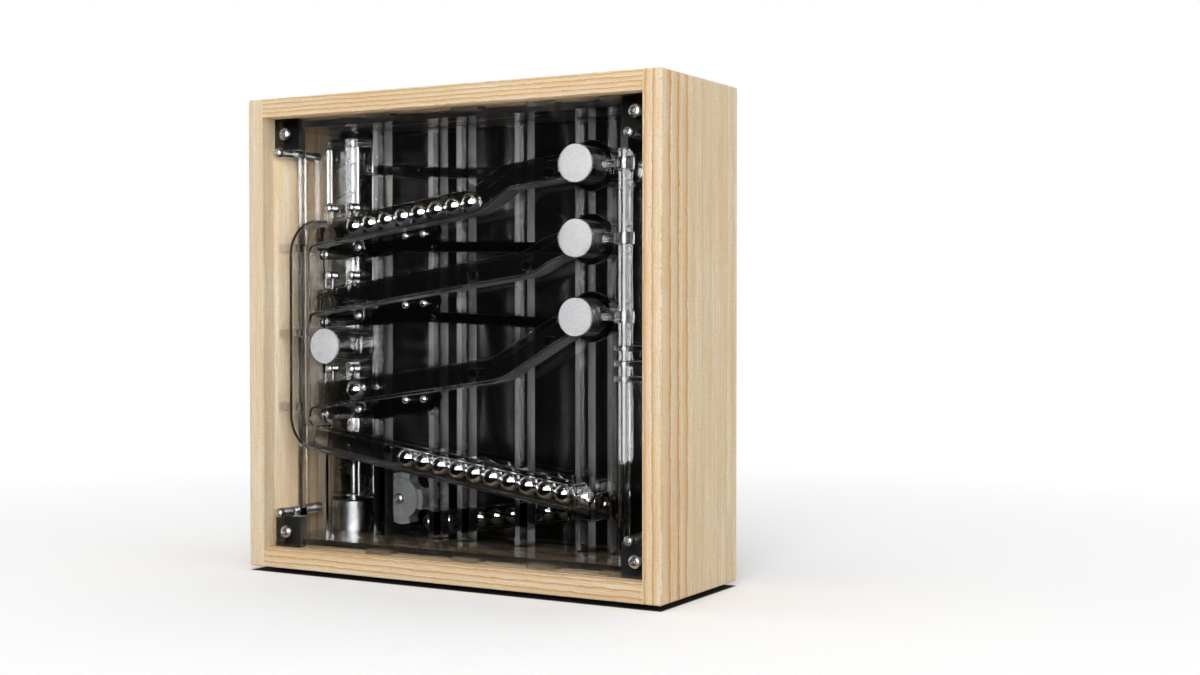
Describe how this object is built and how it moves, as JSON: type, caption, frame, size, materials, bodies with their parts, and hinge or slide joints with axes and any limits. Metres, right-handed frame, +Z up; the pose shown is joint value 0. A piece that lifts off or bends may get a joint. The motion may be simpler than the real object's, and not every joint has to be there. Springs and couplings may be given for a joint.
{
  "type": "rolling ball clock",
  "caption": "Wooden box clock with clear panels: steel balls on sloping rows show the time, weighted levers release full rows and a screw lift brings the balls back up.",
  "frame": {"origin": "bottom centre of the whole clock, on the floor between the feet", "axes": "+Z up, front towards -Y, the clock's right side as seen from the front towards +X"},
  "size_m": [0.3, 0.1, 0.303],
  "materials": {
    "wood": "oiled, straight brown grain",
    "clear_panel": "clear, polished",
    "dark_panel": "dark, polished",
    "clear_acrylic": "clear, polished",
    "smoked_acrylic": "smoked, polished",
    "white_cap": "matt, faintly speckled",
    "white_plastic": "satin",
    "steel_ball": "mirror polished",
    "screw_steel": "bright",
    "block_aluminium": "satin",
    "foot_rubber": "matt",
    "black_plastic": "matt",
    "circuit_board": "satin"
  },
  "bodies": {
    "frame": {"left_side": "wood", "right_side": "wood", "top_board": "wood", "bottom_board": "wood", "front_panel": "clear_panel", "back_panel": "dark_panel", "corner_blocks": "clear_acrylic", "corner_screws": "screw_steel", "feet": "foot_rubber", "standoffs": "block_aluminium", "standoff_screws": "screw_steel", "base_plate": "clear_acrylic", "top_plate": "clear_acrylic", "posts": "clear_acrylic", "mid_plate": "clear_acrylic", "minute_track": "clear_acrylic", "tens_track": "clear_acrylic", "hour_track": "clear_acrylic", "left_lane": "clear_acrylic", "reservoir_track": "clear_acrylic", "rear_track": "clear_acrylic", "feed_track": "clear_acrylic", "tens_carry_track": "clear_acrylic", "hour_carry_track": "clear_acrylic", "minute_tube": "clear_acrylic", "tens_tube": "clear_acrylic", "hour_tube": "clear_acrylic", "overflow_tube": "clear_acrylic", "tube_caps": "white_cap", "right_column": "clear_acrylic", "column_clamps": "clear_acrylic", "lane_straps": "clear_acrylic", "gate_pivots": "screw_steel", "lever_bushings": "screw_steel", "track_screws": "screw_steel", "lift_tube": "clear_acrylic", "lift_guides": "screw_steel", "lift_base": "clear_acrylic", "lift_cap": "clear_acrylic", "lift_motor": "block_aluminium", "wheel_screw": "screw_steel", "wheel_housing": "clear_acrylic", "rear_balls": "steel_ball", "power_inlet": "black_plastic", "control_board": "circuit_board"},
    "minute_gate_body": {"minute_gate": "smoked_acrylic"},
    "minute_lever_body": {"minute_lever": "smoked_acrylic", "minute_weights": "screw_steel"},
    "tens_gate_body": {"tens_gate": "smoked_acrylic"},
    "tens_lever_body": {"tens_lever": "smoked_acrylic", "tens_weights": "screw_steel"},
    "hour_gate_body": {"hour_gate": "smoked_acrylic"},
    "hour_lever_body": {"hour_lever": "smoked_acrylic", "hour_weights": "screw_steel"},
    "lift": {"lift_shaft": "screw_steel", "lift_flight": "clear_acrylic"},
    "feed_wheel_body": {"feed_wheel": "white_plastic"},
    "minute_row_of_balls": {"minute_balls": "steel_ball"},
    "hour_row_ball": {"hour_ball": "steel_ball"},
    "reservoir_row_of_balls": {"reservoir_balls": "steel_ball"}
  },
  "joints": [
    {"name": "minute_gate_swing", "type": "hinge", "parent": "frame", "child": "minute_gate_body", "pos_m": [-0.082, -0.0192, 0.2079], "axis": [0, -1, 0], "range_deg": [0, 52]},
    {"name": "minute_lever_swing", "type": "hinge", "parent": "frame", "child": "minute_lever_body", "pos_m": [-0.1121, -0.01665, 0.2041], "axis": [0, -1, 0], "range_deg": [0, 10.4]},
    {"name": "tens_gate_swing", "type": "hinge", "parent": "frame", "child": "tens_gate_body", "pos_m": [-0.082, -0.0192, 0.1644], "axis": [0, -1, 0], "range_deg": [0, 52]},
    {"name": "tens_lever_swing", "type": "hinge", "parent": "frame", "child": "tens_lever_body", "pos_m": [-0.1121, -0.01665, 0.1606], "axis": [0, -1, 0], "range_deg": [0, 10.4]},
    {"name": "hour_gate_swing", "type": "hinge", "parent": "frame", "child": "hour_gate_body", "pos_m": [-0.082, -0.0192, 0.1044], "axis": [0, -1, 0], "range_deg": [0, 52]},
    {"name": "hour_lever_swing", "type": "hinge", "parent": "frame", "child": "hour_lever_body", "pos_m": [-0.1121, -0.01665, 0.1006], "axis": [0, -1, 0], "range_deg": [0, 10.4]},
    {"name": "lift_turn", "type": "hinge", "parent": "frame", "child": "lift", "pos_m": [-0.118, 0.01955, 0.15], "axis": [0, 0, 1], "continuous": true},
    {"name": "feed_wheel_turn", "type": "hinge", "parent": "frame", "child": "feed_wheel_body", "pos_m": [-0.0745, 0.01955, 0.0445], "axis": [0, -1, 0], "continuous": true},
    {"name": "minute_balls_roll", "type": "slide", "parent": "frame", "child": "minute_row_of_balls", "axis": [0.9901, 0, 0.14], "range_m": [0, 0.0035]},
    {"name": "hour_ball_roll", "type": "slide", "parent": "frame", "child": "hour_row_ball", "axis": [0.9901, 0, 0.14], "range_m": [0, 0.095]},
    {"name": "reservoir_balls_roll", "type": "slide", "parent": "frame", "child": "reservoir_row_of_balls", "axis": [-0.9901, 0, 0.14], "range_m": [0, 0.055]}
  ],
  "couplings": [
    {"joint": "minute_lever_swing", "follows": "minute_gate_swing", "ratio": 0.2},
    {"joint": "tens_lever_swing", "follows": "tens_gate_swing", "ratio": 0.2},
    {"joint": "hour_lever_swing", "follows": "hour_gate_swing", "ratio": 0.2},
    {"joint": "feed_wheel_turn", "follows": "lift_turn", "ratio": 0.25}
  ]
}
